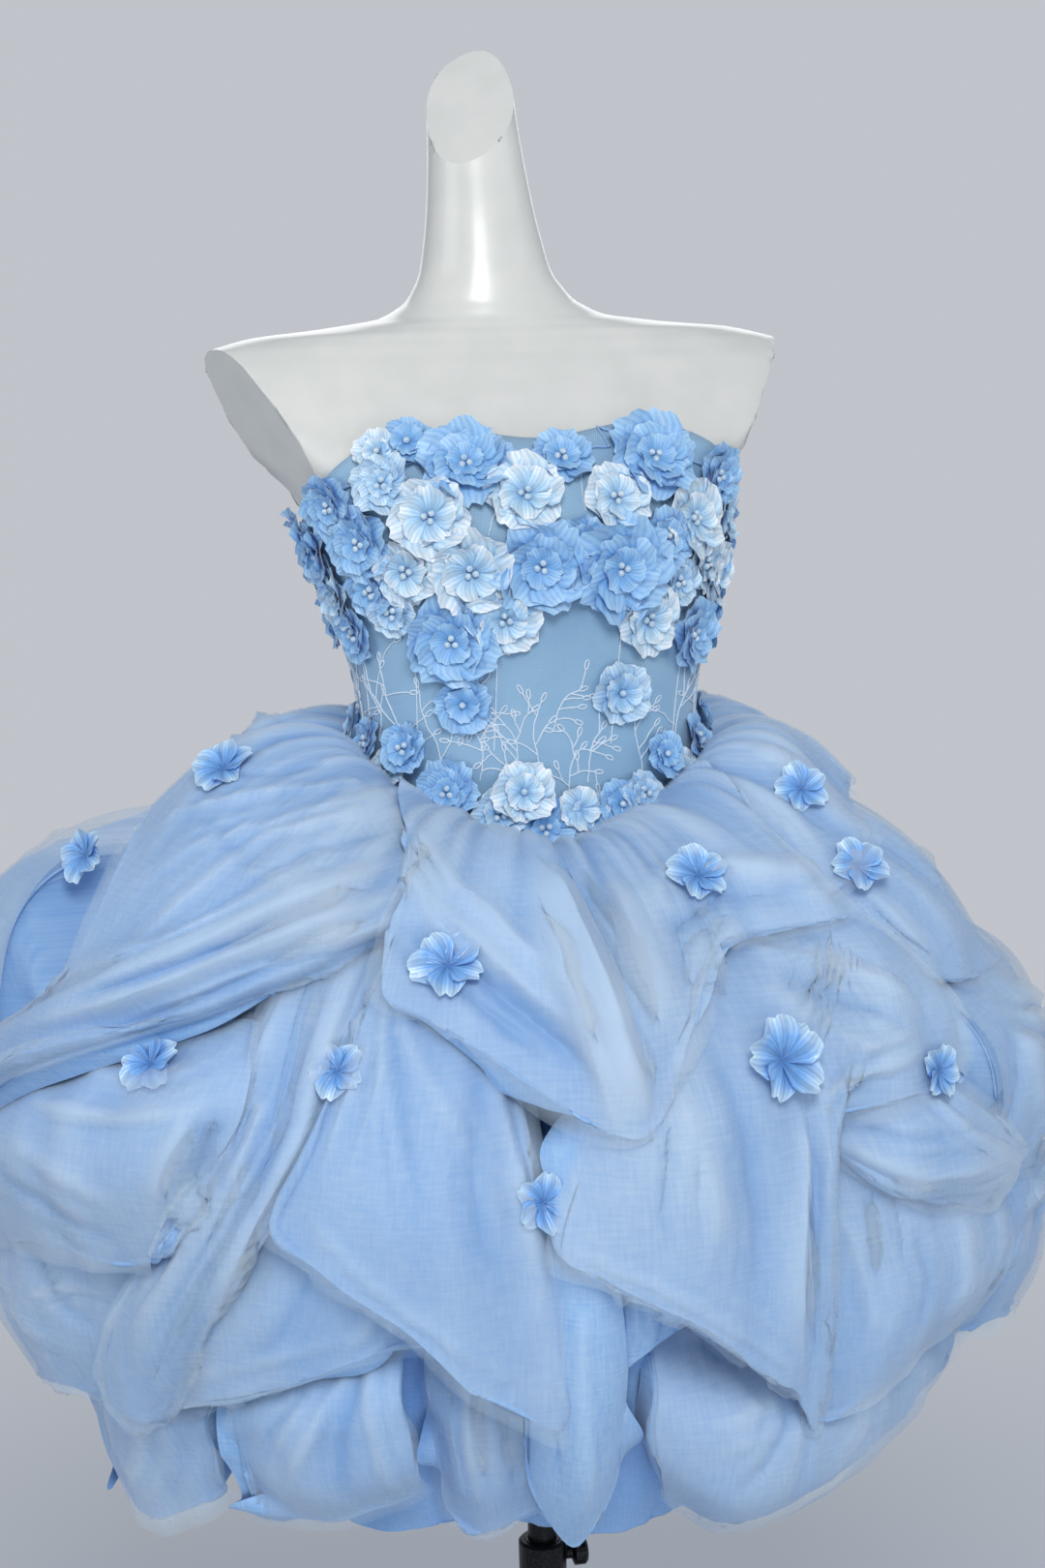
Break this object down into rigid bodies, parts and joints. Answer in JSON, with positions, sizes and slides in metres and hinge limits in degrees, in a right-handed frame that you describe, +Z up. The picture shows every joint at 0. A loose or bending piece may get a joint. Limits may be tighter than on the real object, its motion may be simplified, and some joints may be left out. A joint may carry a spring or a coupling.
{
  "type": "homecoming dress on a dress form",
  "caption": "Strapless short ball gown with a flowered corset bodice and a picked-up organza skirt, worn by a limbless dress form on a height-adjustable round-base stand.",
  "frame": {"origin": "centre of the base plate's underside, on the floor", "axes": "+Z up along the stand; the centre front of the dress faces -Y; +X is the dress's own left side"},
  "size_m": [0.8676, 0.7217, 1.5599],
  "materials": {
    "organza": "crisp translucent pale blue organza in layers",
    "underskirt": "pale blue lining under gathered net",
    "lace": "pale blue corded lace over mesh",
    "petal": "blue and white chiffon and satin petals with pearl centres",
    "form_gloss": "glossy warm white lacquer",
    "black_steel": "black enamel",
    "zip_tape": "woven tape dyed to match",
    "zip_metal": "bright plated metal"
  },
  "bodies": {
    "stand": {"base_plate": "black_steel", "outer_tube": "black_steel", "clamp_collar": "black_steel", "clamp_knob": "black_steel"},
    "dressed_form": {"mast": "black_steel", "dress_form": "form_gloss", "bodice_front": "lace", "bodice_back_right": "lace", "bodice_back_left": "lace", "zip_tape": "zip_tape", "zip_slider": "zip_metal", "flower_neck_left": "petal", "flower_left": "petal", "flower_neck_right": "petal", "flower_front": "petal", "flower_front_right": "petal", "flower_low_left": "petal", "flower_swag_left": "petal", "flower_swag_front": "petal", "flower_puff_right": "petal", "flower_gore_right": "petal", "underskirt": "underskirt", "ruffle_left": "organza", "ruffle_mid": "organza", "ruffle_front": "organza", "ruffle_back_left": "organza", "ruffle_back_right": "organza", "ruffle_back": "organza", "veil_left": "organza", "veil_right": "organza", "pocket_right": "organza", "bubble_right": "organza", "front_tail": "organza", "bubble_back_left": "organza", "bubble_back_right": "organza", "gore_back": "organza", "fold_left_under": "organza", "fold_left": "organza", "bubble_left": "organza", "gore_right_low": "organza", "puff_right_low": "organza", "gore_front": "organza", "lip_right": "organza", "puff_back_right": "organza", "puff_right_mid": "organza", "gore_right": "organza", "puff_left_side": "organza", "puff_back_left": "organza", "puff_back_top_right": "organza", "puff_back": "organza", "puff_right_top": "organza", "swag_left": "organza", "swag_front": "organza"},
    "zip_tab": {"zip_pull_tab": "zip_metal"}
  },
  "joints": [
    {"name": "stand_height", "type": "slide", "parent": "stand", "child": "dressed_form", "axis": [0, 0, 1], "range_m": [-0.06, 0.18]},
    {"name": "zip_tab_swing", "type": "hinge", "parent": "dressed_form", "child": "zip_tab", "pos_m": [-0.00235, 0.0985, 1.2173], "axis": [1, 0, 0], "range_deg": [-12, 160]}
  ]
}
